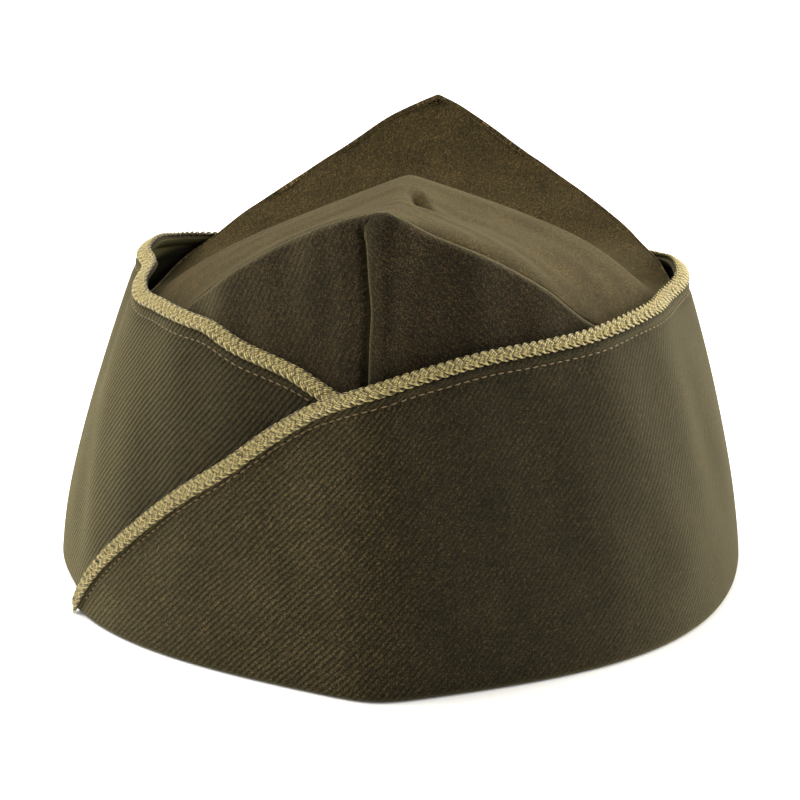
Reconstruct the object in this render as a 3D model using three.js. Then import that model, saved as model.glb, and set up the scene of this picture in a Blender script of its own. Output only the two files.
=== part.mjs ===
// Garrison cap, opened out as for wearing and standing on its lower edge.
// Millimetres, +Z up, the front peak towards -Y and the wearer's left towards +X.
// "round" is the share of the way round the cap from the front seam: 0 at the front,
// +0.5 and -0.5 at the back seam, positive on the wearer's left.

import * as THREE from 'three';

// Cloth, braid and the space between layers
const CLOTH = 1.8; // thickness of a curtain flap, two layers of twill
const CROWN_CLOTH = 1.6; // thickness of a crown panel
const BRAID_RADIUS = 1.7; // the cord-edge braid
const GAP = 0.3; // space between pieces that touch
const ROUND_LENGTH = 600; // the way round the lower edge
const SEAM_GAP = GAP / 2 / ROUND_LENGTH; // half the space at a seam, as a share of the round
const LAP = 3.8; // how far the covered layers stand inside the outer flap at the front
const LAP_FADE = { from: 0.2, to: 0.27 }; // where the flaps come together again
const CROWN_FADE = { from: 0.29, to: 0.41 }; // where the crown follows
const CROWN_INSET = 3.2; // crown wall inside a single flap, measured at the lower edge
const HEM_REACH = 5.5; // how far the turned-in hem runs under the crown wall
const COVERED_HEM = 2.5; // the same, for the covered end of the under flap
const SEAM_X = 4.2; // the front and back seams stand this far to the wearer's left

// Plan outlines. nose and tail are the front and back points, widest is how far back the
// greatest half-widths left and right lie. Each hold is how far a side runs on in its
// direction before it bends, and the angles are measured from the cross direction.
const OUTLINES = {
  curtainFoot: {
    nose: -102.5, tail: 102.5, widest: 27, left: 94, right: 102.4, noseAngle: 23.5, tailAngle: 24,
    noseHold: 64, sideHoldFront: 82, sideHoldBack: 45, tailHold: 71, rounding: 14, lean: 0,
  },
  curtainTop: {
    nose: -94, tail: 94, widest: 12, left: 72.5, right: 74.4, noseAngle: 28, tailAngle: 26,
    noseHold: 61, sideHoldFront: 59, sideHoldBack: 46, tailHold: 60, rounding: 14, lean: 0,
  },
  crownPeak: {
    nose: -83, tail: 85, widest: 9, left: 59, right: 58, noseAngle: 30, tailAngle: 28,
    noseHold: 50, sideHoldFront: 50, sideHoldBack: 45, tailHold: 50, rounding: 6, lean: 2,
  },
};
const CURTAIN_TOP_Z = 95; // height of the curtainTop outline
const CROWN_PEAK_Z = 125; // height of the crownPeak outline
const WALL_BOW = 1.5; // over 1: walls start upright and lean in towards the top
const OUTLINE_STEPS = 720;

// Waves in the free edge of the curtain, at its top outline
const WAVES = [
  { round: -0.2, push: 2.2, reach: 0.025 },
  { round: -0.245, push: -3, reach: 0.02 },
  { round: 0.215, push: -1.2, reach: 0.02 },
  { round: 0.265, push: 1.6, reach: 0.03 },
  { round: 0.35, push: 1.3, reach: 0.05 },
];

// Height of the braid's centre line on each flap
const OVER_EDGE = [
  { round: -0.1785, height: 1.75 },
  { round: -0.1754, height: 5 },
  { round: -0.168, height: 10.5 },
  { round: -0.1575, height: 17.6 },
  { round: -0.1342, height: 30.4 },
  { round: -0.1065, height: 44.2 },
  { round: -0.0811, height: 54.8 },
  { round: -0.0573, height: 65.6 },
  { round: -0.0335, height: 73.9 },
  { round: -0.0036, height: 80.1 },
  { round: 0.0285, height: 83.7 },
  { round: 0.0658, height: 86.1 },
  { round: 0.12, height: 86.8 },
  { round: 0.166, height: 87.8 },
  { round: 0.22, height: 87 },
  { round: 0.25, height: 86.8 },
  { round: 0.29, height: 87 },
  { round: 0.34, height: 85 },
  { round: 0.38, height: 82.5 },
  { round: 0.5, height: 80 },
];
const UNDER_EDGE = [
  { round: -0.5, height: 80 },
  { round: -0.38, height: 83 },
  { round: -0.33, height: 87 },
  { round: -0.29, height: 90 },
  { round: -0.24, height: 89.5 },
  { round: -0.1856, height: 86.9 },
  { round: -0.1647, height: 87.4 },
  { round: -0.1187, height: 87.4 },
  { round: -0.082, height: 83.6 },
  { round: -0.0496, height: 80.4 },
  { round: -0.0276, height: 76.4 },
  { round: 0.02, height: 66 },
  { round: 0.059, height: 54 },
  { round: 0.11, height: 34 },
  { round: 0.175, height: 6 },
];
const FLAP_END = { over: -0.168, under: 0.165 }; // where the cloth of each flap runs out
const BRAID_UNDER_END = -0.014; // the covered end of the under flap's braid
const BRAID_SEAM_END = 0.4988; // where each braid stops short of the back seam

// Height of the seam between the side panels and the gusset
const CROWN_SEAM = [
  { round: 0, left: 124.5, right: 124.5 },
  { round: 0.03, left: 116.7, right: 120.4 },
  { round: 0.065, left: 109.2, right: 113.6 },
  { round: 0.1, left: 99.4, right: 104 },
  { round: 0.13, left: 88.3, right: 93.8 },
  { round: 0.16, left: 82, right: 84 },
  { round: 0.22, left: 81, right: 80 },
  { round: 0.3, left: 78, right: 76 },
  { round: 0.345, left: 85, right: 82.5 },
  { round: 0.38, left: 94, right: 92.5 },
  { round: 0.43, left: 106.8, right: 107 },
  { round: 0.47, left: 117.2, right: 118 },
  { round: 0.5, left: 123, right: 123 },
];

// Centre line of the gusset: a ridge roof at the front, a crest at round 0.222, a hollow
// behind it and a slope up to the rear peak. back and aside shift it from the middle of the
// two seams. bow 1 is a straight fold, 2 is a round arch.
const GUSSET = [
  { round: 0, height: 124.5, back: 0, aside: 0, bow: 1.5 },
  { round: 0.03, height: 122.5, back: 1, aside: 0, bow: 1.5 },
  { round: 0.1, height: 120.5, back: 4, aside: 1, bow: 1.45 },
  { round: 0.18, height: 119, back: 4, aside: 1, bow: 1.45 },
  { round: 0.222, height: 118, back: 0, aside: 2, bow: 1.45 },
  { round: 0.24, height: 111, back: -1, aside: 1, bow: 1.6 },
  { round: 0.265, height: 97, back: -2, aside: 0, bow: 1.8 },
  { round: 0.3, height: 88, back: -4, aside: 0, bow: 2 },
  { round: 0.345, height: 88, back: -5, aside: 0, bow: 1.5 },
  { round: 0.38, height: 94.5, back: -5, aside: 0, bow: 1 },
  { round: 0.43, height: 105, back: -3, aside: 0, bow: 1 },
  { round: 0.47, height: 115, back: -1, aside: 0, bow: 1 },
  { round: 0.5, height: 123, back: 0, aside: 0, bow: 1 },
];

// Mesh steps
const FLAP_STEPS = 58;
const FLAP_ROWS = 5;
const CROWN_STEPS = 40;
const PANEL_ROWS = 6;
const GUSSET_ROWS = 12;
const BRAID_STEPS = 64;
const BRAID_SIDES = 8;
const GUSSET_START = 0.004; // the gusset's blunt ends

const COLOURS = { twill: 0x4a4129, shade: 0x554a30, braid: 0x9a8c5e };

// Value of one column of a table, smooth between the rows and never overshooting them
function along(table, column, round) {
  const last = table.length - 1;
  if (round <= table[0].round) return table[0][column];
  if (round >= table[last].round) return table[last][column];
  let row = 0;
  while (table[row + 1].round < round) row += 1;
  const slope = (i) => {
    const rise = table[i + 1][column] - table[i][column];
    return rise / (table[i + 1].round - table[i].round);
  };
  const tangent = (i) => {
    if (i === 0) return slope(0);
    if (i === last) return slope(last - 1);
    const before = slope(i - 1);
    const after = slope(i);
    return before * after <= 0 ? 0 : (2 * before * after) / (before + after);
  };
  const span = table[row + 1].round - table[row].round;
  const t = (round - table[row].round) / span;
  const start = table[row][column];
  const end = table[row + 1][column];
  const ease = t * t * (3 - 2 * t);
  const out = t * (1 - t) * (1 - t) * span * tangent(row);
  const into = t * t * (t - 1) * span * tangent(row + 1);
  return start + (end - start) * ease + out + into;
}

// One side of a plan outline, from the nose to the tail
function sideCurve(o, halfWidth, sign) {
  const nose = new THREE.Vector2(o.lean, o.nose);
  const side = new THREE.Vector2(o.lean + sign * halfWidth, o.widest);
  const tail = new THREE.Vector2(o.lean, o.tail);
  const a = THREE.MathUtils.degToRad(o.noseAngle);
  const b = THREE.MathUtils.degToRad(o.tailAngle);
  const hold = (from, dx, dy) => new THREE.Vector2(from.x + sign * dx, from.y + dy);
  const path = new THREE.CurvePath();
  path.add(new THREE.CubicBezierCurve(
    nose, hold(nose, o.noseHold * Math.cos(a), o.noseHold * Math.sin(a)),
    hold(side, 0, -o.sideHoldFront), side,
  ));
  path.add(new THREE.CubicBezierCurve(
    side, hold(side, 0, o.sideHoldBack),
    hold(tail, o.tailHold * Math.cos(b), -o.tailHold * Math.sin(b)), tail,
  ));
  path.arcLengthDivisions = OUTLINE_STEPS;
  return path.getSpacedPoints(OUTLINE_STEPS / 2);
}

// Closed outline as evenly spaced points; its two points are rounded by averaging
function ring(o) {
  const left = sideCurve(o, o.left, 1);
  const right = sideCurve(o, o.right, -1).reverse();
  let points = left.slice(0, -1).concat(right.slice(0, -1));
  const length = points.reduce((sum, p, i) => sum + p.distanceTo(points[(i + 1) % points.length]), 0);
  const reach = Math.round((o.rounding / 2 / length) * points.length);
  for (let pass = 0; pass < 2; pass += 1) {
    points = points.map((_, i) => {
      const mean = new THREE.Vector2();
      for (let k = -reach; k <= reach; k += 1) {
        mean.add(points[(i + k + points.length) % points.length]);
      }
      return mean.divideScalar(2 * reach + 1);
    });
  }
  return points;
}

function ringPoint(points, round) {
  const place = ((round + 1) % 1) * points.length;
  const i = Math.floor(place);
  return points[i].clone().lerp(points[(i + 1) % points.length], place - i);
}

// Outward direction in plan
function ringNormal(points, round) {
  const step = 3 / OUTLINE_STEPS;
  const d = ringPoint(points, round + step).sub(ringPoint(points, round - step)).normalize();
  return new THREE.Vector2(d.y, -d.x);
}

const curtainFoot = ring(OUTLINES.curtainFoot);
const curtainTop = ring(OUTLINES.curtainTop);
const crownPeak = ring(OUTLINES.crownPeak);

// 1 where the two flaps lap over each other at the front, 0 at the sides and back
function lapped(round) {
  return 1 - THREE.MathUtils.smoothstep(Math.abs(round), LAP_FADE.from, LAP_FADE.to);
}

// The same for the crown, which stays clear of the flaps until further back
function crownLapped(round) {
  return 1 - THREE.MathUtils.smoothstep(Math.abs(round), CROWN_FADE.from, CROWN_FADE.to);
}

function wave(round) {
  return WAVES.reduce((sum, w) => sum + w.push * Math.exp(-(((round - w.round) / w.reach) ** 2)), 0);
}

// A point of the curtain, depth millimetres inside its outer face
function curtainPoint(round, z, depth) {
  const rise = Math.pow(Math.max(z, 0) / CURTAIN_TOP_Z, WALL_BOW);
  const top = ringPoint(curtainTop, round).addScaledVector(ringNormal(curtainTop, round), wave(round));
  const p = ringPoint(curtainFoot, round).lerp(top, rise);
  p.addScaledVector(ringNormal(curtainFoot, round), -depth);
  return new THREE.Vector3(p.x + SEAM_X, p.y, z);
}

// A point of the crown wall, depth millimetres inside its outer face
function crownPoint(round, z, depth) {
  const inset = CROWN_INSET + LAP * crownLapped(round);
  const normal = ringNormal(curtainFoot, round);
  const foot = ringPoint(curtainFoot, round).addScaledVector(normal, -inset);
  const rise = Math.pow(Math.max(z, 0) / CROWN_PEAK_Z, WALL_BOW);
  const p = foot.lerp(ringPoint(crownPeak, round), rise).addScaledVector(normal, -depth);
  return new THREE.Vector3(p.x + SEAM_X, p.y, z);
}

function seamHeight(round) {
  return along(CROWN_SEAM, round >= 0 ? 'left' : 'right', Math.abs(round));
}

// A point of the gusset's top face; across runs from -1 at the right seam to 1 at the left.
// The gusset lies between the two side panels.
function gussetPoint(round, across) {
  const inset = CROWN_CLOTH + GAP;
  const left = crownPoint(round, seamHeight(round), inset);
  const right = crownPoint(-round, seamHeight(-round), inset);
  const p = right.clone().lerp(left, (across + 1) / 2);
  const middle = (left.z + right.z) / 2;
  const bow = along(GUSSET, 'bow', round);
  p.x += along(GUSSET, 'aside', round) * (1 - across * across);
  p.y += along(GUSSET, 'back', round) * (1 - across * across);
  p.z += (along(GUSSET, 'height', round) - middle) * (1 - Math.pow(Math.abs(across), bow));
  return p;
}

// Solid through a row of closed sections, each listed as rows + 1 points up or across one
// face, as many back along the other, and any further corners of the hem
function loft(sections, rows) {
  const count = sections[0].length;
  const faces = [];
  for (let s = 0; s < sections.length - 1; s += 1) {
    for (let i = 0; i < count; i += 1) {
      const a = s * count + i;
      const b = s * count + ((i + 1) % count);
      faces.push(a, b, b + count, a, b + count, a + count);
    }
  }
  const end = [];
  for (let i = 0; i < rows; i += 1) {
    end.push([i, i + 1, 2 * rows - i], [i, 2 * rows - i, 2 * rows + 1 - i]);
  }
  for (let i = 2 * rows + 1; i < count - 1; i += 1) end.push([0, i, i + 1]);
  const last = (sections.length - 1) * count;
  for (const [a, b, c] of end) faces.push(c, b, a, last + a, last + b, last + c);
  return outward(sections.flat(), faces);
}

// Geometry with its faces pointing out
function outward(corners, faces) {
  let volume = 0;
  for (let i = 0; i < faces.length; i += 3) {
    const cross = corners[faces[i + 1]].clone().cross(corners[faces[i + 2]]);
    volume += corners[faces[i]].dot(cross);
  }
  const index = volume < 0 ? faces.reverse() : faces;
  const geometry = new THREE.BufferGeometry().setFromPoints(corners);
  geometry.setIndex(index);
  return geometry;
}

function steps(count, from, to) {
  return Array.from({ length: count + 1 }, (_, i) => from + ((to - from) * i) / count);
}

// The crown's stations from front to back, shared by the panels and the gusset
const crownStations = steps(CROWN_STEPS, GUSSET_START, 0.5 - GUSSET_START);

// Height of the cloth's free edge, which the braid covers however steeply it runs
function clothTop(edge, round) {
  const step = 1 / OUTLINE_STEPS;
  const rise = along(edge, 'height', round + step) - along(edge, 'height', round - step);
  const slope = rise / (2 * step * ROUND_LENGTH);
  return along(edge, 'height', round) - (BRAID_RADIUS + GAP) * Math.hypot(1, slope);
}

// A curtain flap: an upright wall with its hem turned in under the crown. reach, lift and
// inset give the hem's reach, its height above the table and the depth of the outer face.
function flap(rounds, edge, shapeAt) {
  const profiles = rounds.map((round) => {
    const { reach, lift, inset } = shapeAt(round);
    const top = clothTop(edge, round);
    const rows = steps(FLAP_ROWS, 0, 1);
    const outer = rows.map((t) => new THREE.Vector2(inset, lift + (top - lift) * t));
    const inner = rows.map((t) => new THREE.Vector2(inset + CLOTH, top - (top - lift - CLOTH) * t));
    const hem = [lift + CLOTH, lift].map((z) => new THREE.Vector2(inset + reach, z));
    return outer.concat(inner, hem);
  });
  const sections = profiles.map((profile, i) => profile.map((p) => curtainPoint(rounds[i], p.y, p.x)));
  return loft(sections, FLAP_ROWS);
}

function curtainOver() {
  const rounds = steps(FLAP_STEPS, FLAP_END.over, 0.5 - SEAM_GAP);
  return flap(rounds, OVER_EDGE, (round) => {
    const reach = HEM_REACH + LAP * crownLapped(round);
    return { reach, lift: 0, inset: 0 };
  });
}

// The under flap stands on the over flap's hem as far as that flap reaches
function curtainUnder() {
  const covered = FLAP_END.over - 0.01;
  const free = covered - 0.003;
  const back = steps(Math.round(FLAP_STEPS / 2), -0.5 + SEAM_GAP, free);
  const front = steps(Math.round(FLAP_STEPS / 2), covered, FLAP_END.under);
  return flap(back.concat(front), UNDER_EDGE, (round) => {
    const reach = round > free - 0.001 ? COVERED_HEM : HEM_REACH;
    const lift = round >= covered ? CLOTH + GAP : 0;
    return { reach, lift, inset: LAP * lapped(round) };
  });
}

// A side panel of the crown. side is 1 on the wearer's left and -1 on the right.
function crownPanel(side) {
  const rounds = [SEAM_GAP, ...crownStations, 0.5 - SEAM_GAP];
  const foot = CLOTH + GAP;
  const profiles = rounds.map((round) => {
    const seam = seamHeight(side * round);
    const rows = steps(PANEL_ROWS, 0, 1);
    const outer = rows.map((t) => new THREE.Vector2(0, foot + (seam - foot) * t));
    const inner = rows.map((t) => new THREE.Vector2(CROWN_CLOTH, seam - (seam - foot) * t));
    return outer.concat(inner);
  });
  const sections = profiles.map((profile, i) =>
    profile.map((p) => crownPoint(side * rounds[i], p.y, p.x)));
  return loft(sections, PANEL_ROWS);
}

function crownTop() {
  const rows = steps(GUSSET_ROWS, -1, 1);
  const sections = crownStations.map((round) => {
    const top = rows.map((across) => gussetPoint(round, across));
    const below = top.map((p) => new THREE.Vector3(p.x, p.y, p.z - CROWN_CLOTH)).reverse();
    return top.concat(below);
  });
  return loft(sections, GUSSET_ROWS);
}

// Braid as a round cord along the free edge of a flap
function braid(rounds, edge, insetAt) {
  const path = rounds.map((round) => {
    const height = along(edge, 'height', round);
    return curtainPoint(round, height, insetAt(round) + CLOTH / 2);
  });
  const curve = new THREE.CatmullRomCurve3(path, false, 'centripetal');
  const round = new THREE.Shape();
  for (let i = 0; i < BRAID_SIDES; i += 1) {
    const angle = ((i + 0.5) / BRAID_SIDES) * 2 * Math.PI;
    const corner = [BRAID_RADIUS * Math.cos(angle), BRAID_RADIUS * Math.sin(angle)];
    if (i === 0) round.moveTo(...corner);
    else round.lineTo(...corner);
  }
  return new THREE.ExtrudeGeometry(round, { steps: BRAID_STEPS, extrudePath: curve });
}

function piece(name, geometry, colour, roughness) {
  const material = new THREE.MeshStandardMaterial({ color: colour, roughness, metalness: 0 });
  const mesh = new THREE.Mesh(geometry, material);
  mesh.name = name;
  return mesh;
}

const overRounds = steps(BRAID_STEPS, OVER_EDGE[0].round, BRAID_SEAM_END);
const underRounds = steps(BRAID_STEPS, -BRAID_SEAM_END, BRAID_UNDER_END);

const cap = new THREE.Group();
cap.add(
  piece('crown_left', crownPanel(1), COLOURS.shade, 0.95),
  piece('crown_right', crownPanel(-1), COLOURS.shade, 0.95),
  piece('crown_top', crownTop(), COLOURS.shade, 0.95),
  piece('curtain_over', curtainOver(), COLOURS.twill, 0.95),
  piece('curtain_under', curtainUnder(), COLOURS.twill, 0.95),
  piece('braid_over', braid(overRounds, OVER_EDGE, () => 0), COLOURS.braid, 0.8),
  piece('braid_under', braid(underRounds, UNDER_EDGE, (r) => LAP * lapped(r)), COLOURS.braid, 0.8),
);

export default cap;
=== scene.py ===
# Garrison cap in olive drab wool twill with plaited edge braid, opened out and standing on its
# lower edge. Shapes are worked out in millimetres and written to the meshes in metres. "round"
# is the share of the way round the cap from the front seam: 0 at the front, +0.5 and -0.5 at the
# back seam, positive on the wearer's left. "depth" is how far a point lies inside the outer face.

import math
import random

import bmesh
import bpy
import numpy as np
from mathutils import Matrix, Vector


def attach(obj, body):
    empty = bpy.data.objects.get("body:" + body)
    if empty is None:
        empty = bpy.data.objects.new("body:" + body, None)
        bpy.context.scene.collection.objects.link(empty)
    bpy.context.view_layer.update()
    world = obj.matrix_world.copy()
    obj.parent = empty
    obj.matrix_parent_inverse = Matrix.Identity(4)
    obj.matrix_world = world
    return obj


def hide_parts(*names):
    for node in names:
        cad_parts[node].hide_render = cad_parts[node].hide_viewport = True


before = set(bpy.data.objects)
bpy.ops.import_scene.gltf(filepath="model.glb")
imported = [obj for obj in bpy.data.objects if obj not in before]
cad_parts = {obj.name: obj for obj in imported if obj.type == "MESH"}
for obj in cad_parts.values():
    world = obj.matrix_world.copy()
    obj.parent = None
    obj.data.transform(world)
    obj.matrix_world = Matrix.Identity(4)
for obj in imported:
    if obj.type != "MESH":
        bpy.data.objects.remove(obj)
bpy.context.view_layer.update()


# ---------------------------------------------------------------------------------------------
# Outer curtain flap: two layers of wool twill with interlining, cut as one long shaped strip,
# turned up from the cap's lower edge and topstitched below its braided free edge. It starts at
# the back seam, runs round the wearer's left and over the front, and ends low on the right.

MM = 0.001
CLOTH = 1.8
SEAM_X = 4.2
CURTAIN_TOP_Z = 95
WALL_BOW = 1.5
ROUND_LENGTH = 600
OUTLINE_POINTS = 720
SEAM_GAP = 0.15 / ROUND_LENGTH

CURTAIN_FOOT = dict(
    nose=-102.5, tail=102.5, widest=27, left=94, right=102.4, nose_angle=23.5, tail_angle=24,
    nose_hold=64, front_hold=82, back_hold=45, tail_hold=71, rounding=14, lean=0,
)
CURTAIN_TOP = dict(
    nose=-94, tail=94, widest=12, left=72.5, right=74.4, nose_angle=28, tail_angle=26,
    nose_hold=61, front_hold=59, back_hold=46, tail_hold=60, rounding=14, lean=0,
)

# Waves in the free edge, at its top: round, push outwards, reach
EDGE_WAVES = (
    (-0.2, 2.2, 0.025),
    (-0.245, -3.0, 0.02),
    (-0.28, 1.2, 0.08),
    (0.215, -1.2, 0.02),
    (0.265, 1.6, 0.03),
    (0.35, 1.3, 0.05),
)

# Round, height of the braid's centre line
OVER_EDGE = (
    (-0.1785, 2.15),
    (-0.1754, 5),
    (-0.168, 10.5),
    (-0.1575, 17.6),
    (-0.1342, 30.4),
    (-0.1065, 44.2),
    (-0.0811, 54.8),
    (-0.0573, 65.6),
    (-0.0335, 73.9),
    (-0.0036, 80.1),
    (0.0285, 83.7),
    (0.0658, 86.1),
    (0.12, 86.8),
    (0.166, 87.8),
    (0.22, 87),
    (0.25, 86.8),
    (0.29, 86.4),
    (0.34, 82.8),
    (0.38, 81),
    (0.5, 80),
)
OVER_END = -0.178
HEM_FOLD = 1.9
HEM_REACH = 5.5
STITCH_DROP = 4.4
FLAP_LUMPS = 0.22


def along(table, place, column=1):
    """One column of a table at any place, smooth between its rows and never past them."""
    rows = np.array(table, float)
    x, y = rows[:, 0], rows[:, column]
    slope = np.diff(y) / np.diff(x)
    product, total = slope[:-1] * slope[1:], slope[:-1] + slope[1:]
    middle = np.where(product > 0, 2 * product / np.where(product > 0, total, 1), 0)
    tangent = np.concatenate([slope[:1], middle, slope[-1:]])
    place = np.clip(place, x[0], x[-1])
    row = np.clip(np.searchsorted(x, place, side="right") - 1, 0, len(slope) - 1)
    span = x[row + 1] - x[row]
    t = (place - x[row]) / span
    ease = t * t * (3 - 2 * t)
    out = t * (1 - t) ** 2 * span * tangent[row]
    into = t * t * (t - 1) * span * tangent[row + 1]
    return y[row] + (y[row + 1] - y[row]) * ease + out + into


def smooth(value, start, end):
    """0 before start, 1 after end and eased between them."""
    t = np.clip((value - start) / (end - start), 0, 1)
    return t * t * (3 - 2 * t)


def hump(value, centre, reach):
    return np.exp(-(((value - centre) / reach) ** 2))


def half_outline(o, half_width, sign):
    """One side of a plan outline from nose to tail: two curves, evenly spaced."""
    nose = np.array([o["lean"], o["nose"]])
    side = np.array([o["lean"] + sign * half_width, o["widest"]])
    tail = np.array([o["lean"], o["tail"]])
    a, b = math.radians(o["nose_angle"]), math.radians(o["tail_angle"])
    corners = (
        nose,
        nose + o["nose_hold"] * np.array([sign * math.cos(a), math.sin(a)]),
        side - (0, o["front_hold"]),
        side,
        side + (0, o["back_hold"]),
        tail + o["tail_hold"] * np.array([sign * math.cos(b), -math.sin(b)]),
        tail,
    )
    t = np.linspace(0, 1, OUTLINE_POINTS)[:, None]
    path = []
    for p, q, r, s in (corners[:4], corners[3:]):
        path.append(p * (1 - t) ** 3 + 3 * q * t * (1 - t) ** 2 + 3 * r * t * t * (1 - t) + s * t**3)
    path = np.vstack([path[0], path[1][1:]])
    steps = np.linalg.norm(np.diff(path, axis=0), axis=1)
    run = np.concatenate([[0], np.cumsum(steps)])
    even = np.linspace(0, run[-1], OUTLINE_POINTS // 2 + 1)
    return np.stack([np.interp(even, run, path[:, 0]), np.interp(even, run, path[:, 1])], 1)


def outline(o):
    """Closed plan outline; its nose and tail are rounded by averaging neighbours twice."""
    left, right = half_outline(o, o["left"], 1), half_outline(o, o["right"], -1)
    ring = np.vstack([left[:-1], right[::-1][:-1]])
    length = np.linalg.norm(ring - np.roll(ring, -1, 0), axis=1).sum()
    reach = round(o["rounding"] / 2 / length * len(ring))
    for _ in range(2):
        ring = sum(np.roll(ring, -k, 0) for k in range(-reach, reach + 1)) / (2 * reach + 1)
    return ring


def on_outline(ring, around):
    place = (np.asarray(around, float) % 1) * len(ring)
    i = np.floor(place).astype(int)
    share = (place - i)[..., None]
    return ring[i % len(ring)] * (1 - share) + ring[(i + 1) % len(ring)] * share


def outward(ring, around):
    """Unit vectors pointing out of the outline in plan."""
    step = 3 / OUTLINE_POINTS
    run = on_outline(ring, around + step) - on_outline(ring, around - step)
    run /= np.linalg.norm(run, axis=-1, keepdims=True)
    return np.stack([run[..., 1], -run[..., 0]], -1)


foot_ring = outline(CURTAIN_FOOT)
top_ring = outline(CURTAIN_TOP)


def curtain_point(around, z, depth):
    """A point of the curtain."""
    rise = (np.clip(z, 0, None) / CURTAIN_TOP_Z) ** WALL_BOW
    wave = sum(push * hump(around, centre, reach) for centre, push, reach in EDGE_WAVES)
    top = on_outline(top_ring, around) + outward(top_ring, around) * wave[..., None]
    plan = on_outline(foot_ring, around) * (1 - rise[..., None]) + top * rise[..., None]
    plan = plan - outward(foot_ring, around) * depth[..., None]
    return np.stack([plan[..., 0] + SEAM_X, plan[..., 1], z], -1)


def soft_lumps(around, z, size):
    """Slow unevenness of pressed cloth, as a depth."""
    waves = (
        np.sin(around * 57 + z / 19 + 0.8)
        + 0.8 * np.sin(around * 91 - z / 27 + 2.1)
        + 0.6 * np.sin(around * 143 + z / 11 + 4.0)
    )
    return size * waves


def edge_climb(edge, around):
    """How steeply a free edge climbs."""
    step = 0.5 / OUTLINE_POINTS
    rise = along(edge, around + step) - along(edge, around - step)
    return rise / (2 * step * ROUND_LENGTH)


def grid_piece(bm, columns, rows, place, cut):
    """A grid of columns by rows quads. place and cut give each vertex its point in millimetres
    and its place on the flat cloth, from its shares across and up."""
    made = bmesh.ops.create_grid(bm, x_segments=columns, y_segments=rows, size=0.5)["verts"]
    across = np.array([v.co.x + 0.5 for v in made])
    up = np.array([v.co.y + 0.5 for v in made])
    points, flat = place(across, up) * MM, cut(across, up)
    layer = bm.loops.layers.uv.get("cloth") or bm.loops.layers.uv.new("cloth")
    for vertex, point, spot in zip(made, points, flat):
        vertex.co = point
        for corner in vertex.link_loops:
            corner[layer].uv = spot
    return made


def face_away(bm, inside):
    """Turns an open sheet so that it faces away from a point inside the cap."""
    bmesh.ops.recalc_face_normals(bm, faces=bm.faces)
    inside = Vector(inside) * MM
    facing = sum((f.calc_center_median() - inside).dot(f.normal) * f.calc_area() for f in bm.faces)
    if facing < 0:
        bmesh.ops.reverse_faces(bm, faces=bm.faces)


def finish_piece(bm, name, materials):
    """The bmesh as a smooth-shaded object that rides on the cap."""
    mesh = bpy.data.meshes.new(name)
    bm.to_mesh(mesh)
    bm.free()
    mesh.polygons.foreach_set("use_smooth", [True] * len(mesh.polygons))
    for material in materials:
        mesh.materials.append(material)
    piece = bpy.data.objects.new(name, mesh)
    bpy.context.collection.objects.link(piece)
    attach(piece, "root")
    return piece


def thicken(piece, thickness):
    """Gives the cloth its thickness, inwards from its outer face."""
    wall = piece.modifiers.new("thickness", "SOLIDIFY")
    wall.thickness = thickness * MM
    wall.offset = -1


def add(tree, kind, settings=None, **inputs):
    """A shader node; an input named _0, _1 and so on is given by its number."""
    made = tree.nodes.new("ShaderNode" + kind)
    for name, value in (settings or {}).items():
        setattr(made, name, value)
    for name, value in inputs.items():
        key = int(name[1:]) if name[0] == "_" else name.replace("_", " ")
        if isinstance(value, bpy.types.NodeSocket):
            tree.links.new(value, made.inputs[key])
        else:
            made.inputs[key].default_value = value
    return made


def calc(tree, operation, *values):
    inputs = {f"_{i}": value for i, value in enumerate(values)}
    return add(tree, "Math", {"operation": operation}, **inputs).outputs[0]


def ramp(tree, factor, stops):
    made = add(tree, "ValToRGB", Fac=factor)
    elements = made.color_ramp.elements
    while len(elements) < len(stops):
        elements.new(0.5)
    for element, (position, colour) in zip(elements, stops):
        element.position = position
        element.color = (*colour, 1)
    return made.outputs["Color"]


# Share of the way from the shade between yarns to the light on them, and its colour
YARN_TONES = (
    (0.20, (0.0045, 0.0033, 0.0012)),
    (0.42, (0.0180, 0.0140, 0.0056)),
    (0.60, (0.0390, 0.0304, 0.0118)),
    (0.84, (0.1050, 0.0860, 0.0360)),
)


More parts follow.
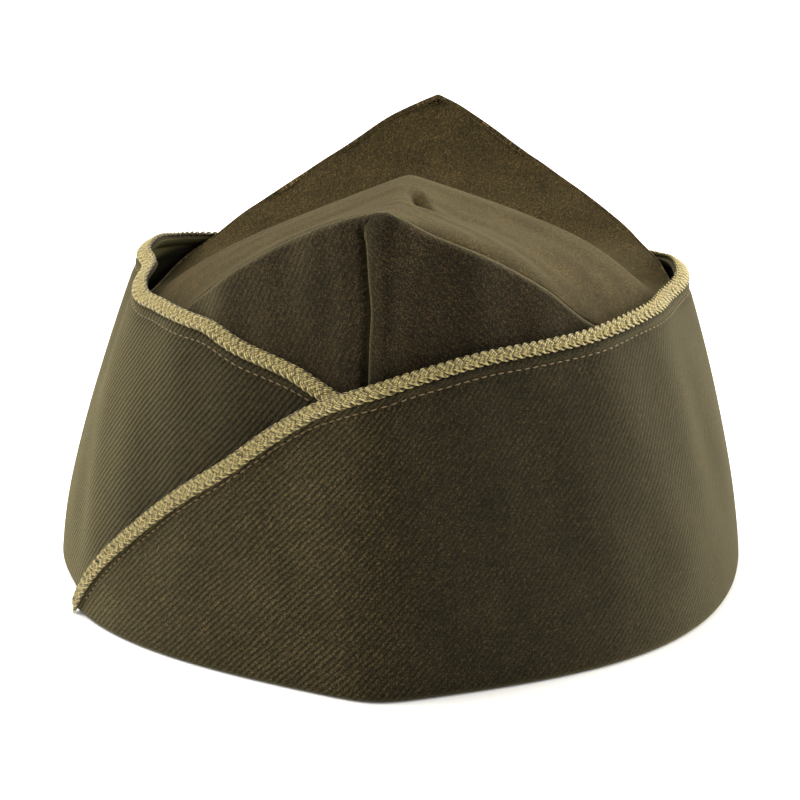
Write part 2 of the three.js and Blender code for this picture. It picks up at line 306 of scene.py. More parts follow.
def wool_twill(name, pitch, angle, rib, nap, hue_and_painted_light, fade=None, painted_rim_light=None):
    """Wool twill: ribs at an angle in degrees, broken into yarn floats of mixed browns and
    greens, under a short nap. hue_and_painted_light tints all of it: the cloth's hue, with painted
    light that makes some pieces lighter and painted shade that makes others darker. fade gives the
    places between which the ribs die out, and what is left of them. painted_rim_light gives how far
    round the cloth starts and stops growing lighter, and how many times lighter it gets, as painted
    light towards the back."""
    material = bpy.data.materials.new(name)
    material.use_nodes = True
    tree = material.node_tree
    shader = tree.nodes["Principled BSDF"]
    flat = add(tree, "UVMap", {"uv_map": "cloth"}).outputs["UV"]
    turn = (0, 0, -math.radians(angle))
    lay = add(tree, "Mapping", Vector=flat, Scale=(100, 100, 100), Rotation=turn).outputs[0]
    drift = add(tree, "TexNoise", Vector=lay, Scale=0.06, Detail=3.0).outputs["Color"]
    push = add(tree, "VectorMath", {"operation": "SCALE"}, _0=drift, Scale=2.2).outputs[0]
    lay = add(tree, "VectorMath", {"operation": "ADD"}, _0=lay, _1=push).outputs[0]
    across = add(tree, "SeparateXYZ", Vector=lay).outputs["Y"]
    wave = calc(tree, "SINE", calc(tree, "MULTIPLY", across, 2 * math.pi / pitch))
    ribs = calc(tree, "POWER", calc(tree, "MULTIPLY_ADD", wave, 0.499, 0.5), 0.55)
    if fade:
        place = add(tree, "SeparateXYZ", Vector=flat).outputs["X"]
        limits = dict(From_Min=fade[0], From_Max=fade[1], To_Min=1.0, To_Max=fade[2])
        left = add(tree, "MapRange", {"interpolation_type": "SMOOTHSTEP"}, Value=place, **limits)
        ribs = calc(tree, "MULTIPLY", ribs, left.outputs["Result"])
    float_scale = add(tree, "Mapping", Vector=lay, Scale=(3.0, 4.4, 1)).outputs[0]
    floats = add(tree, "TexVoronoi", {"voronoi_dimensions": "2D"}, Vector=float_scale, Scale=1.0)
    grain = add(tree, "SeparateXYZ", Vector=floats.outputs["Color"]).outputs["X"]
    stretched = add(tree, "Mapping", Vector=lay, Scale=(0.55, 1, 1)).outputs[0]
    hairs = add(tree, "TexNoise", Vector=stretched, Scale=5.0, Detail=2.0, Roughness=0.75).outputs["Fac"]
    tone = calc(tree, "MULTIPLY_ADD", ribs, rib, 0.5 - 0.6 * rib - 0.72 * nap)
    tone = calc(tree, "MULTIPLY_ADD", grain, 0.4 * nap, tone)
    specks = calc(tree, "POWER", grain, 9.0)
    tone = calc(tree, "MULTIPLY_ADD", specks, 0.2 * nap, tone)
    tone = calc(tree, "MULTIPLY_ADD", hairs, nap, tone)
    yarns = ramp(tree, tone, YARN_TONES)
    mix = add(tree, "VectorMath", {"operation": "SCALE"}, _0=floats.outputs["Color"], Scale=0.24)
    mix = add(tree, "VectorMath", {"operation": "ADD"}, _0=mix.outputs[0], _1=(0.88, 0.88, 0.88))
    tint = add(tree, "VectorMath", {"operation": "MULTIPLY"}, _0=yarns, _1=mix.outputs[0])
    patches = add(tree, "TexNoise", Vector=flat, Scale=7.0, Detail=5.0, Roughness=0.62).outputs["Fac"]
    worn = ramp(tree, patches, ((0.32, (0.80, 0.81, 0.77)), (0.68, (1.20, 1.18, 1.20))))
    tint = add(tree, "VectorMath", {"operation": "MULTIPLY"}, _0=tint.outputs[0], _1=worn)
    # Per-piece tint: the cloth's hue, with painted light on some pieces and painted shade on others.
    tint = add(tree, "VectorMath", {"operation": "MULTIPLY"}, _0=tint.outputs[0], _1=hue_and_painted_light)
    # Painted light: the cloth grows lighter round towards the back.
    if painted_rim_light:
        place = calc(tree, "ABSOLUTE", add(tree, "SeparateXYZ", Vector=flat).outputs["X"])
        limits = dict(From_Min=painted_rim_light[0], From_Max=painted_rim_light[1], To_Min=1.0, To_Max=painted_rim_light[2])
        rim_light_gain = add(tree, "MapRange", Value=place, **limits).outputs["Result"]
        tint = add(tree, "VectorMath", {"operation": "SCALE"}, _0=tint.outputs[0], Scale=rim_light_gain)
    height = calc(tree, "MULTIPLY", ribs, min(1.0, 3 * rib))
    height = calc(tree, "MULTIPLY_ADD", floats.outputs["Distance"], -0.35, height)
    height = calc(tree, "MULTIPLY_ADD", hairs, 0.8 * nap, height)
    bump = add(tree, "Bump", Strength=0.7, Distance=0.25 * MM, Height=height)
    tree.links.new(tint.outputs[0], shader.inputs["Base Color"])
    tree.links.new(bump.outputs["Normal"], shader.inputs["Normal"])
    shader.inputs["Roughness"].default_value = 0.95
    shader.inputs["Specular IOR Level"].default_value = 0.12
    shader.inputs["Sheen Weight"].default_value = 0.22
    shader.inputs["Sheen Roughness"].default_value = 0.4
    shader.inputs["Sheen Tint"].default_value = (1.0, 0.88, 0.42, 1)
    return material


# Height on the flat cloth in decimetres and colour: painted shade, near black, over the inner
# face of the flap, and a green-khaki strip above it near the top edge where the light reaches
REVERSE_SHADE_TONES = (
    (0.825, (0.009, 0.0075, 0.004)),
    (0.842, (0.060, 0.055, 0.024)),
)


def flap_reverse():
    """The matt inner side of a flap, darkened with painted shade below its top strip."""
    material = bpy.data.materials.new("curtain_reverse_shade")
    material.use_nodes = True
    tree = material.node_tree
    shader = tree.nodes["Principled BSDF"]
    flat = add(tree, "UVMap", {"uv_map": "cloth"}).outputs["UV"]
    height = add(tree, "SeparateXYZ", Vector=flat).outputs["Y"]
    tree.links.new(ramp(tree, height, REVERSE_SHADE_TONES), shader.inputs["Base Color"])
    shader.inputs["Roughness"].default_value = 1.0
    shader.inputs["Specular IOR Level"].default_value = 0.05
    return material


reverse = flap_reverse()

WALL_ROWS = 62
HEM_ROWS = 9
FLAP_COLUMNS = 330
WALL_CROWDING = 1.35
EDGE_RISE = 0.25
EDGE_ROLL = 1.5
EDGE_ROLL_DROP = 0.9
EDGE_ROLL_REACH = 1.6
GROOVE_DEPTH = 0.4
GROOVE_REACH = 0.9
SWELL_HEIGHT = 0.25
SWELL_RISE = 2
SWELL_REACH = 1.1


def flap(name, start, end, edge, shape_at, material):
    """A curtain flap as one outer face: its hem from under the crown, the fold at the table and
    the wall up to the braid. shape_at gives the wall's depth, its lift and the hem's reach."""
    fold_share = HEM_ROWS / (HEM_ROWS + WALL_ROWS)

    def profile(across, up):
        around = start + (end - start) * across
        inset, lift, reach = shape_at(around)
        slope = np.hypot(1, edge_climb(edge, around))
        top = along(edge, around) + EDGE_RISE * slope
        hem = np.clip(up / fold_share * 2, 0, 1)
        turn = np.clip(up / fold_share * 2 - 1, 0, 1) * math.pi / 2
        climb = 1 - (1 - np.clip((up - fold_share) / (1 - fold_share), 0, 1)) ** WALL_CROWDING
        low = np.minimum(HEM_FOLD, 0.8 * (top - lift))
        depth = reach + (low - reach) * hem - low * np.sin(turn)
        z = low * (1 - np.cos(turn)) + lift + (top - lift - low) * climb
        below = (along(edge, around) - z) / slope
        to_roll = np.clip(1 - (below - EDGE_ROLL_DROP) / EDGE_ROLL_REACH, 0, 1)
        rolled = EDGE_ROLL * (1 - np.sqrt(1 - to_roll**2))
        groove = GROOVE_DEPTH * hump(below, STITCH_DROP, GROOVE_REACH)
        groove -= SWELL_HEIGHT * hump(below, STITCH_DROP - SWELL_RISE, SWELL_REACH)
        lumps = soft_lumps(around, z, FLAP_LUMPS) * smooth(z, 4, 25)
        return around, z, depth + inset + rolled + groove + lumps

    def place(across, up):
        return curtain_point(*profile(across, up))

    def cut(across, up):
        around, z, depth = profile(across, up)
        return np.stack([around * ROUND_LENGTH, z - depth], -1) / 100

    bm = bmesh.new()
    grid_piece(bm, FLAP_COLUMNS, HEM_ROWS + WALL_ROWS, place, cut)
    face_away(bm, (SEAM_X, 0, 45))
    piece = finish_piece(bm, name, [material, reverse])
    thicken(piece, CLOTH)
    piece.modifiers["thickness"].material_offset = 1
    return piece


LAP = 3.8


def crown_lapped(around):
    """1 where the crown stands clear of two flaps, 0 towards the back."""
    return 1 - smooth(np.abs(around), 0.29, 0.41)


def over_inset(around):
    """The outer flap lies on the outline itself."""
    return np.zeros_like(around)


def over_shape(around):
    nothing = over_inset(around)
    return nothing, nothing, HEM_REACH + LAP * crown_lapped(around)


over_twill = wool_twill(
    "curtain_over_twill", 1.42, 46, 0.34, 0.75, (0.83, 0.83, 0.83), fade=(-0.2, 0.25, 0.3)
)
over = flap("curtain_over_flap", OVER_END, 0.5 - SEAM_GAP, OVER_EDGE, over_shape, over_twill)
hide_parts("curtain_over")


# ---------------------------------------------------------------------------------------------
# Under curtain flap: the same two layers of twill with interlining, on the wearer's right. It
# starts at the back seam, and its front end lies between the outer flap and the crown and
# stands on the outer flap's hem.

UNDER_EDGE = (
    (-0.5, 80),
    (-0.38, 83),
    (-0.33, 87),
    (-0.29, 90),
    (-0.24, 89.5),
    (-0.1856, 86.9),
    (-0.1647, 87.4),
    (-0.1187, 87.4),
    (-0.082, 83.6),
    (-0.0496, 80.4),
    (-0.0276, 76.4),
    (0.02, 66),
    (0.059, 54),
    (0.11, 34),
    (0.175, 6),
)
UNDER_END = 0.165
COVERED_HEM = 2.5
COVERED_LIFT = 2.1


def lapped(around):
    """1 where the two flaps lap over each other at the front, 0 at the sides and back."""
    return 1 - smooth(np.abs(around), 0.2, 0.27)


def under_inset(around):
    return LAP * lapped(around)


def under_shape(around):
    covered = smooth(around, -0.187, -0.177)
    reach = HEM_REACH + (COVERED_HEM - HEM_REACH) * covered
    return under_inset(around), COVERED_LIFT * covered, reach


# The under flap's tint is painted shade: the same cloth as the outer flap, made darker against the light
# from the left.
under_twill = wool_twill("curtain_under_twill", 1.62, 48, 0.34, 0.75, (0.46, 0.455, 0.42))
under = flap("curtain_under_flap", -0.5 + SEAM_GAP, UNDER_END, UNDER_EDGE, under_shape, under_twill)
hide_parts("curtain_under")


# ---------------------------------------------------------------------------------------------
# Crown side panels: one layer of wool twill on each side, sewn to each other down the front and
# the back with seams that sink between two soft rolls of cloth, and rolled over at the top where
# the gusset is sewn in. The front seam stands to the wearer's right of the nose and hooks back
# to it under the peak.

CROWN_CLOTH = 1.6
CROWN_INSET = 3.2
CROWN_PEAK_Z = 125
CROWN_FOOT_Z = 2.1
CROWN_PEAK = dict(
    nose=-83, tail=85, widest=9, left=59, right=58, nose_angle=30, tail_angle=28,
    nose_hold=50, front_hold=50, back_hold=45, tail_hold=50, rounding=6, lean=2,
)

# Round, height of the gusset seam on the left and on the right
CROWN_SEAM = (
    (0, 123.5, 123.5),
    (0.01, 121.6, 122.9),
    (0.03, 116.7, 120.4),
    (0.065, 109.2, 113.6),
    (0.1, 99.4, 104),
    (0.13, 88.3, 93.8),
    (0.16, 82, 84),
    (0.22, 81, 80),
    (0.3, 78, 76),
    (0.345, 85, 82.5),
    (0.38, 94, 92.5),
    (0.43, 106.8, 107),
    (0.47, 117.2, 118),
    (0.5, 123, 123),
)

# Height, place round of the front seam
FRONT_SEAM = (
    (0, -0.0115),
    (90, -0.0122),
    (97, -0.0117),
    (107, -0.0145),
    (115, -0.0168),
    (117.3, -0.0184),
    (118.9, -0.0177),
    (120, -0.0154),
    (121.3, -0.0125),
    (122.6, -0.0108),
)
FRONT_ROLL = 1.7
FRONT_GAP = 0.75 / ROUND_LENGTH
SEAM_TURN_IN = 3.0
SEAM_LEAN_REACH = 0.03
GAP_CLOSES = (117.5, 120.5)
FRONT_ROLL_ENDS = (117.5, 121.5)
BACK_ROLL = 1.2
BACK_ROLL_ENDS = (110, 119)
TOP_TURN = math.radians(95)
PANEL_LUMPS = 0.3
PANEL_COLUMNS = 240
PANEL_ROWS = 62
PANEL_CROWDING = 0.93
ROLL_SHARE = 0.84

crown_ring = outline(CROWN_PEAK)


def crown_point(around, z, depth):
    """A point of the crown wall."""
    normal = outward(foot_ring, around)
    inset = CROWN_INSET + LAP * crown_lapped(around)
    foot = on_outline(foot_ring, around) - normal * inset[..., None]
    rise = ((np.clip(z, 0, None) / CROWN_PEAK_Z) ** WALL_BOW)[..., None]
    plan = foot * (1 - rise) + on_outline(crown_ring, around) * rise - normal * depth[..., None]
    return np.stack([plan[..., 0] + SEAM_X, plan[..., 1], z], -1)


def seam_height(around):
    left, right = along(CROWN_SEAM, np.abs(around)), along(CROWN_SEAM, np.abs(around), 2)
    return np.where(around >= 0, left, right)


def ring_length(z):
    """How far it is round the crown at a height."""
    return 575 - 165 * (np.clip(z, 0, None) / CROWN_PEAK_Z) ** WALL_BOW


def top_roll(around):
    """Radius of the roll along the gusset seam."""
    return 1.9 - 1.3 * smooth(np.abs(around), 0.18, 0.36)


def sunk(distance, roll):
    """Depth of a rounded edge, from the distance to its seam."""
    return roll * (1 - np.sqrt(1 - np.clip(1 - distance / roll, 0, 1) ** 2))


def crown_panel(name, side, swell, material):
    """A side panel as one outer face; side is 1 for the left and -1 for the right. Its columns
    crowd towards the seams and lean with the front seam. swell is how far it stands out beside
    the front seam."""
    seam_top = FRONT_SEAM[-1][1]

    def profile(across, up):
        ease = across - PANEL_CROWDING * np.sin(2 * math.pi * across) / (2 * math.pi)
        gap = side * FRONT_GAP
        nominal = seam_top + gap + (side * (0.5 - SEAM_GAP) - gap - seam_top) * ease
        follow = hump(nominal, seam_top, SEAM_LEAN_REACH)
        rim = nominal
        for _ in range(8):
            rim = nominal + (along(FRONT_SEAM, seam_height(rim)) - seam_top) * follow
        top, roll = seam_height(rim), top_roll(rim)
        climb = 1 - (1 - np.clip(up / ROLL_SHARE, 0, 1)) ** 1.3
        turn = np.clip((up - ROLL_SHARE) / (1 - ROLL_SHARE), 0, 1) * TOP_TURN
        z = CROWN_FOOT_Z + (top - roll - CROWN_FOOT_Z) * climb + roll * np.sin(turn)
        around = nominal + (along(FRONT_SEAM, z) - seam_top) * follow
        closed = gap * smooth(z, *GAP_CLOSES)
        around = around - closed * hump(nominal, seam_top, 0.008)
        length = ring_length(z)
        front = np.abs(around - along(FRONT_SEAM, z) - gap + closed) * length
        back = np.abs(side * 0.5 - around) * length
        depth = roll * (1 - np.cos(turn))
        rolled = sunk(front, FRONT_ROLL) + SEAM_TURN_IN * (front < 0.02)
        depth += rolled * (1 - smooth(z, *FRONT_ROLL_ENDS))
        depth += sunk(back, BACK_ROLL) * (1 - smooth(z, *BACK_ROLL_ENDS))
        depth -= swell * hump(front, 6, 4) * smooth(z, 60, 90)
        lumps = soft_lumps(around * 1.3, z, PANEL_LUMPS)
        depth += lumps * smooth(z, 20, 60) * smooth(front, 2, 14)
        return around, z, depth

    def place(across, up):
        return crown_point(*profile(across, up))

    def cut(across, up):
        around, z, depth = profile(across, up)
        return np.stack([around * ring_length(z), z], -1) / 100

    bm = bmesh.new()
    grid_piece(bm, PANEL_COLUMNS, PANEL_ROWS, place, cut)
    face_away(bm, (SEAM_X, 0, 60))
    piece = finish_piece(bm, name, [material])
    thicken(piece, CROWN_CLOTH)
    return piece


# Side, its name, swell, rib pitch, rib angle, rib strength, flat length and area in metres
CROWN_PANELS = (
    (1, "left", 1.0, 1.33, 136, 0.07, 0.284, 0.0256),
    (-1, "right", 0.5, 1.5, 62, 0.12, 0.295, 0.0266),
)
for side, where, swell, pitch, angle, rib, length, area in CROWN_PANELS:
    # The crown panels' tint is their browner hue with painted shade that darkens them; towards the back
    # they get painted light on their rims at the back peak.
    panel_twill = wool_twill(
        f"crown_{where}_twill", pitch, angle, rib, 0.95, (0.47, 0.42, 0.41), painted_rim_light=(0.9, 1.5, 2.8)
    )
    panel = crown_panel(f"crown_{where}_panel", side, swell, panel_twill)
    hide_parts(f"crown_{where}")


# ---------------------------------------------------------------------------------------------
# Gusset: the long leaf-shaped top panel of the same twill, sewn between the two side panels. Its
# front half is pushed up from inside into a ridge roof that ends in a crest, and its rear half
# lies in a hollow and rises to the back peak with a soft crease down its middle.

# Round, height, shift back, shift aside, bow (1 is a straight fold, 2 a round arch)
GUSSET = (
    (0, 123.5, 0, 0, 1.5),
    (0.03, 122.5, 1, 0, 1.5),
    (0.1, 120.5, 4, 1, 1.45),
    (0.18, 119, 4, 1, 1.45),
    (0.222, 118, 0, 2, 1.45),
    (0.24, 111, -1, 1, 1.6),
    (0.265, 97, -2, 0, 1.8),
    (0.3, 88, -4, 0, 2),
    (0.345, 88, -5, 0, 1.5),
    (0.38, 94.5, -5, 0, 1),
    (0.43, 105, -3, 0, 1),
    (0.47, 115, -1, 0, 1),
    (0.5, 123, 0, 0, 1),
)
GUSSET_COLUMNS = 96
GUSSET_ROWS = 250
GUSSET_TIP = 0.002
ROOF_SOFTNESS = 0.02
ROOF_PITCH_RIGHT = 0.76
ROOF_PITCH_LEFT = 0.62
ROOF_ENDS = (0.235, 0.3)
REAR_STARTS = (0.32, 0.4)
GUSSET_DROP = 0.12
EDGE_SINK = 0.3
EDGE_SINK_REACH = 1.2
GUSSET_LUMPS = 0.07
GUSSET_SPREAD = 1.2

# Dents and humps: round, across, reach round, reach across, lift
GUSSET_DENTS = (
    (0.155, 0.27, 0.035, 0.10, -1.4),
    (0.185, 0.50, 0.03, 0.12, -1.0),
    (0.095, 0.20, 0.014, 0.08, 0.7),
)

# The pinch in front of the crest: its ends in plan, depth and half-width
PINCH_FROM = (8.8, -31)
PINCH_TO = (12.6, -50)
PINCH_DEPTH = 9.0
PINCH_WIDTH = 1.4


def gusset_point(around, across):
    """A point of the gusset's top; across runs from -1 at the right seam to 1 at the left."""
    rear = smooth(around, *REAR_STARTS)
    inset = top_roll(around) * (0.95 - 0.75 * rear)
    left = crown_point(around, along(CROWN_SEAM, around), inset)
    right = crown_point(-around, along(CROWN_SEAM, around, 2), inset)
    share = ((across + 1) / 2)[..., None]
    point = right * (1 - share) + left * share
    middle = (left[..., 2] + right[..., 2]) / 2
    dome = 1 - across**2
    fold = np.hypot(across, ROOF_SOFTNESS) - ROOF_SOFTNESS
    pitch = np.where(across < 0, ROOF_PITCH_RIGHT, ROOF_PITCH_LEFT)
    roof = 1 - pitch * fold - (1 - pitch) * np.abs(across) ** 5
    bow = 1 - np.abs(across) ** along(GUSSET, around, 4)
    bow += (roof - bow) * (1 - smooth(around, *ROOF_ENDS))
    point[..., 0] += along(GUSSET, around, 3) * dome
    point[..., 1] += along(GUSSET, around, 2) * dome
    point[..., 2] += (along(GUSSET, around) - middle) * bow
    for at_round, at_across, reach_round, reach_across, lift in GUSSET_DENTS:
        spot = hump(around, at_round, reach_round) * hump(across, at_across, reach_across)
        point[..., 2] += lift * spot
    run = np.subtract(PINCH_TO, PINCH_FROM)
    away = point[..., :2] - PINCH_FROM
    share = away @ run / (run @ run)
    beside = (away[..., 0] * run[1] - away[..., 1] * run[0]) / np.hypot(*run)
    pinch = smooth(share, -0.3, 0.8) * (1 - smooth(share, 0.85, 1.15))
    point[..., 2] -= PINCH_DEPTH * pinch * hump(beside, 0, PINCH_WIDTH)
    half_width = np.linalg.norm(left - right, axis=-1) / 2
    edge = (1 - np.abs(across)) * half_width
    point[..., 2] -= GUSSET_DROP + EDGE_SINK * np.exp(-edge / EDGE_SINK_REACH) * (1 - rear)
    point[..., 2] += soft_lumps(around * 2, across * 40, GUSSET_LUMPS) * smooth(edge, 2, 12)
    return point


def gusset():
    """The gusset as one outer face from the front tip to the back one. Its flat place is its plan,
    spread a little for its slopes."""

    def spread(across, up):
        return GUSSET_TIP + (0.5 - 2 * GUSSET_TIP) * up, 2 * across - 1

    def place(across, up):
        return gusset_point(*spread(across, up))

    def cut(across, up):
        around, side = spread(across, up)
        return gusset_point(around, side)[:, :2] * GUSSET_SPREAD / 100

    bm = bmesh.new()
    grid_piece(bm, GUSSET_COLUMNS, GUSSET_ROWS, place, cut)
    face_away(bm, (SEAM_X, 0, 20))
    # The gusset's tint is painted light: the same cloth made lighter where the top light falls on the
    # roof, with a browner hue.
    top_twill = wool_twill("crown_top_twill", 1.5, 55, 0.0, 0.6, (1.1, 1.01, 0.79))
    top_twill.node_tree.nodes["Principled BSDF"].inputs["Sheen Weight"].default_value = 0.08
    piece = finish_piece(bm, "crown_top_gusset", [top_twill])
    thicken(piece, CROWN_CLOTH)
    return piece


top = gusset()
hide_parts("crown_top")


# ---------------------------------------------------------------------------------------------
# Edge braid: a flat three-strand plait of khaki and straw cotton cord, each strand four yarns
# side by side, laid over the free edge of each flap and tipped outwards, so that it overhangs
# the cloth a little. Where the edge runs down to the hem it lies flat on the outer face.

PLAIT_PERIOD = 7.4
PLAIT_SWING = 1.3
PLAIT_WEAVE = 0.42
PLAIT_TILT = math.radians(58)
STEEP_TILT = math.radians(12)
STEEP_SLOPES = (0.1, 0.7)
STEEP_OUT = 1.3
STEEP_DROP = 1.2
STRANDS = 3
YARNS = 4
YARN_RADIUS = 0.27
YARN_SPACING = 0.56
YARN_SIDES = 5
YARN_STEP = 0.55


def tube(bm, path, run, radius, sides, tone):
    """A yarn along a path of points, closed at both ends. Its flat place is the run along the
    braid and round the yarn, with tone as a whole number added to tell yarns apart."""
    ahead = np.gradient(path, axis=0)
    ahead /= np.linalg.norm(ahead, axis=1, keepdims=True)
    side = np.cross(ahead, (0.0, 0.0, 1.0))
    side /= np.linalg.norm(side, axis=1, keepdims=True)
    over_side = np.cross(side, ahead)
    last = len(path) - 1

    def place(across, up):
        i = np.rint(across * last).astype(int)
        angle = (up * 2 * math.pi)[:, None]
        return path[i] + radius * (side[i] * np.cos(angle) + over_side[i] * np.sin(angle))

    def cut(across, up):
        return np.stack([run[np.rint(across * last).astype(int)], up + tone], -1)

    made = grid_piece(bm, last, sides, place, cut)
    bmesh.ops.remove_doubles(bm, verts=made, dist=radius * MM * 0.01)
    ends = [e for v in made if v.is_valid for e in v.link_edges if e.is_boundary]
    bmesh.ops.holes_fill(bm, edges=list(set(ends)), sides=sides + 1)


def edge_frame(start, end, edge, inset_at, step):
    """Evenly spaced points along a flap's braided edge with the directions ahead, out and up."""
    around = np.linspace(start, end, 1500)
    depth = inset_at(around) + CLOTH / 2
    line = curtain_point(around, along(edge, around), depth)
    run = np.concatenate([[0], np.cumsum(np.linalg.norm(np.diff(line, axis=0), axis=1))])
    even = np.linspace(0, run[-1], int(run[-1] / step) + 1)
    around = np.interp(even, run, around)
    line = np.stack([np.interp(even, run, line[:, k]) for k in range(3)], 1)
    ahead = np.gradient(line, axis=0)
    ahead /= np.linalg.norm(ahead, axis=1, keepdims=True)
    out = np.pad(outward(foot_ring, around), ((0, 0), (0, 1)))
    out -= ahead * (out * ahead).sum(1, keepdims=True)
    out /= np.linalg.norm(out, axis=1, keepdims=True)
    up = np.cross(out, ahead)
    return even, around, line, ahead, out, up


def plait(name, start, end, edge, inset_at, material):
    """The strands swing across the braid and weave over and under each other; steep is 1 where
    the edge runs down."""
    even, _, line, ahead, out, up = edge_frame(start, end, edge, inset_at, YARN_STEP)
    steep = smooth(np.abs(ahead[:, 2:]), *STEEP_SLOPES)
    tilt = PLAIT_TILT + (STEEP_TILT - PLAIT_TILT) * steep
    face = np.cos(tilt) * out + np.sin(tilt) * up
    wide = np.cos(tilt) * up - np.sin(tilt) * out
    line = line + (STEEP_OUT * out - STEEP_DROP * wide) * steep
    bm = bmesh.new()
    for strand in range(STRANDS):
        phase = (2 * math.pi * (even / PLAIT_PERIOD + strand / STRANDS))[:, None]
        swing = PLAIT_SWING * np.sin(phase)
        weave = PLAIT_WEAVE * np.sin(2 * phase)
        heading = np.arctan(PLAIT_SWING * 2 * math.pi / PLAIT_PERIOD * np.cos(phase))
        beside = wide * np.cos(heading) - ahead * np.sin(heading)
        for yarn in range(YARNS):
            spread = YARN_SPACING * (yarn - (YARNS - 1) / 2)
            path = line + wide * swing + face * weave + beside * spread
            tube(bm, path, even, YARN_RADIUS, YARN_SIDES, YARNS * strand + yarn)
    bmesh.ops.recalc_face_normals(bm, faces=bm.faces)
    return finish_piece(bm, name, [material])


# Share of the way from the shade between yarns to the light on them, and its colour
COTTON_TONES = (
    (0.28, (0.020, 0.014, 0.005)),
    (0.50, (0.125, 0.096, 0.031)),
    (0.78, (0.405, 0.332, 0.122)),
)
TWIST_PITCH = 0.9


def braid_cord():
    """Mercerised cotton: khaki and straw yarns with the fine slant of their twist. A strand gets
    painted light where it passes over another and stands out, and every second yarn is a little
    darker."""
    material = bpy.data.materials.new("edge_braid_cotton")
    material.use_nodes = True
    tree = material.node_tree
    shader = tree.nodes["Principled BSDF"]
    flat = add(tree, "UVMap", {"uv_map": "cloth"}).outputs["UV"]
    parts = add(tree, "SeparateXYZ", Vector=flat)
    strand = calc(tree, "FLOOR", calc(tree, "DIVIDE", parts.outputs["Y"], YARNS))
    phase = calc(tree, "MULTIPLY", parts.outputs["X"], 4 * math.pi / PLAIT_PERIOD)
    phase = calc(tree, "MULTIPLY_ADD", strand, 4 * math.pi / STRANDS, phase)
    # Painted light where a strand is lifted over another.
    painted_crossing_light = calc(tree, "SINE", phase)
    slant = calc(tree, "MULTIPLY", parts.outputs["Y"], 2 * math.pi)
    slant = calc(tree, "MULTIPLY_ADD", parts.outputs["X"], 2 * math.pi / TWIST_PITCH, slant)
    twist = calc(tree, "MULTIPLY_ADD", calc(tree, "SINE", slant), 0.5, 0.5)
    stretched = add(tree, "Mapping", Vector=flat, Scale=(0.8, 3, 1)).outputs[0]
    flecks = add(tree, "TexNoise", Vector=stretched, Scale=1.6, Detail=3.0).outputs["Fac"]
    tone = calc(tree, "MULTIPLY_ADD", twist, 0.3, flecks)
    tone = calc(tree, "MULTIPLY_ADD", painted_crossing_light, 0.17, tone)
    darker = calc(tree, "MODULO", calc(tree, "FLOOR", parts.outputs["Y"]), 2)
    tone = calc(tree, "MULTIPLY_ADD", darker, -0.12, tone)
    tone = calc(tree, "ADD", tone, -0.1)
    bump = add(tree, "Bump", Strength=0.6, Distance=0.1 * MM, Height=twist)
    tree.links.new(ramp(tree, tone, COTTON_TONES), shader.inputs["Base Color"])
    tree.links.new(bump.outputs["Normal"], shader.inputs["Normal"])
    shader.inputs["Roughness"].default_value = 0.5
    shader.inputs["Specular IOR Level"].default_value = 0.35
    shader.inputs["Sheen Weight"].default_value = 0.05
    return material


# Flap, where its braid starts and ends
BRAIDS = (
    ("over", OVER_EDGE[0][0], 0.4988, OVER_EDGE, over_inset),
    ("under", -0.4988, -0.014, UNDER_EDGE, under_inset),
)
cotton = braid_cord()
for where, start, end, edge, inset_at in BRAIDS:
    braid = plait(f"braid_{where}_plait", start, end, edge, inset_at, cotton)
    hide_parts(f"braid_{where}")


# ---------------------------------------------------------------------------------------------
# Topstitching: tan thread in short stitches, one row a little below the braid on each flap. It
# holds the folded edge of the flap and sinks into the cloth.

STITCH_LENGTH = 1.9
STITCH_PITCH = 2.5
STITCH_THICK = 0.2
STITCH_SINK = 0.32
LOWEST_STITCH = 1.5


def stitch_row(bm, start, end, edge, inset_at, shuffle):
    """One stitch after another, each set a little askew."""
    _, around, _, ahead, out, _ = edge_frame(start, end, edge, inset_at, STITCH_PITCH)
    climb = edge_climb(edge, around)
    length = np.hypot(1, climb)
    place = around + STITCH_DROP * climb / length / ROUND_LENGTH
    height = along(edge, around) - STITCH_DROP / length
    depth = inset_at(place) + soft_lumps(place, height, FLAP_LUMPS) + STITCH_SINK
    face = curtain_point(place, height, depth)
    for spot, along_edge, outside in zip(face, ahead, out):
        if spot[2] < LOWEST_STITCH:
            continue
        turn = Matrix.Rotation(math.radians(shuffle.uniform(-7, 3)), 4, Vector(outside))
        upward = np.cross(outside, along_edge)
        axes = Matrix((along_edge, upward, outside)).transposed().to_4x4()
        size = Matrix.Diagonal((STITCH_LENGTH / 2, STITCH_THICK, 1.2 * STITCH_THICK, 1 / MM)) * MM
        place = Matrix.Translation(Vector(spot) * MM) @ turn @ axes @ size
        bmesh.ops.create_uvsphere(bm, u_segments=6, v_segments=4, radius=1, matrix=place)


thread = bpy.data.materials.new("stitch_thread")
thread.use_nodes = True
thread.node_tree.nodes["Principled BSDF"].inputs["Base Color"].default_value = (0.15, 0.10, 0.045, 1)
thread.node_tree.nodes["Principled BSDF"].inputs["Roughness"].default_value = 0.7

shuffle = random.Random(3)
# Flap, where its row starts and ends
STITCH_ROWS = (
    ("over", -0.17, 0.497, OVER_EDGE, over_inset),
    ("under", -0.497, -0.04, UNDER_EDGE, under_inset),
)
for where, start, end, edge, inset_at in STITCH_ROWS:
    bm = bmesh.new()
    stitch_row(bm, start, end, edge, inset_at, shuffle)
    stitches = finish_piece(bm, f"topstitch_{where}", [thread])


# ---------------------------------------------------------------------------------------------
# Studio: a plain pale floor in white surroundings, soft lights at both sides and above, all a
# little behind the cap, and a long lens a little above it.

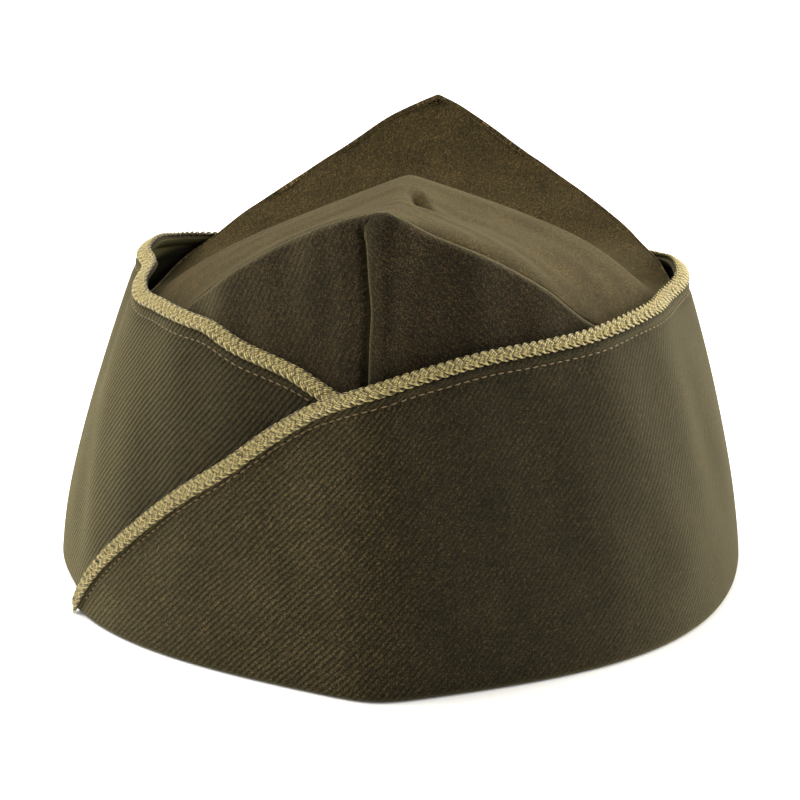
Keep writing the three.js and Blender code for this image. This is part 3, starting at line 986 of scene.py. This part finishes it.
FLOOR_HALF = 6
floor_bm = bmesh.new()
bmesh.ops.create_grid(floor_bm, x_segments=1, y_segments=1, size=FLOOR_HALF)
floor_mesh = bpy.data.meshes.new("floor")
floor_bm.to_mesh(floor_mesh)
floor_bm.free()
paper = bpy.data.materials.new("pale_paper")
paper.use_nodes = True
paper.node_tree.nodes["Principled BSDF"].inputs["Base Color"].default_value = (0.9, 0.9, 0.89, 1)
paper.node_tree.nodes["Principled BSDF"].inputs["Roughness"].default_value = 0.9
floor_mesh.materials.append(paper)
floor = bpy.data.objects.new("floor", floor_mesh)
bpy.context.collection.objects.link(floor)

world = bpy.data.worlds.new("studio_air")
world.use_nodes = True
world.node_tree.nodes["Background"].inputs["Color"].default_value = (1, 1, 1, 1)
world.node_tree.nodes["Background"].inputs["Strength"].default_value = 0.87
bpy.context.scene.world = world

# Name, place in metres, size in metres, watts
SOFT_LIGHTS = (
    ("left_softbox", (-1.1, 0.25, 0.45), 0.9, 4),
    ("right_softbox", (1.0, 0.5, 0.4), 0.9, 26),
    ("top_softbox", (-0.5, 0.2, 1.15), 1.0, 26),
)
for name, place, size, watts in SOFT_LIGHTS:
    light = bpy.data.lights.new(name, "AREA")
    light.shape = "SQUARE"
    light.size = size
    light.energy = watts
    light.color = (1.0, 0.96, 0.88)
    lamp = bpy.data.objects.new(name, light)
    lamp.location = place
    lamp.rotation_mode = "QUATERNION"
    lamp.rotation_quaternion = (Vector((0, 0, 0.06)) - Vector(place)).to_track_quat("-Z", "Y")
    bpy.context.collection.objects.link(lamp)

CAMERA_DISTANCE = 0.855
CAMERA_AZIMUTH = math.radians(5)
CAMERA_ELEVATION = math.radians(16)
AIM = Vector((4.2, -25.6, 58.9)) * MM
lens = bpy.data.cameras.new("long_lens")
lens.lens = 141.75
lens.sensor_width = 36
camera = bpy.data.objects.new("camera", lens)
back = Vector((
    math.sin(CAMERA_AZIMUTH) * math.cos(CAMERA_ELEVATION),
    -math.cos(CAMERA_AZIMUTH) * math.cos(CAMERA_ELEVATION),
    math.sin(CAMERA_ELEVATION),
))
camera.location = AIM + back * CAMERA_DISTANCE
camera.rotation_mode = "QUATERNION"
camera.rotation_quaternion = (-back).to_track_quat("-Z", "Y")
bpy.context.collection.objects.link(camera)
bpy.context.scene.camera = camera
bpy.context.scene.view_settings.view_transform = "Standard"
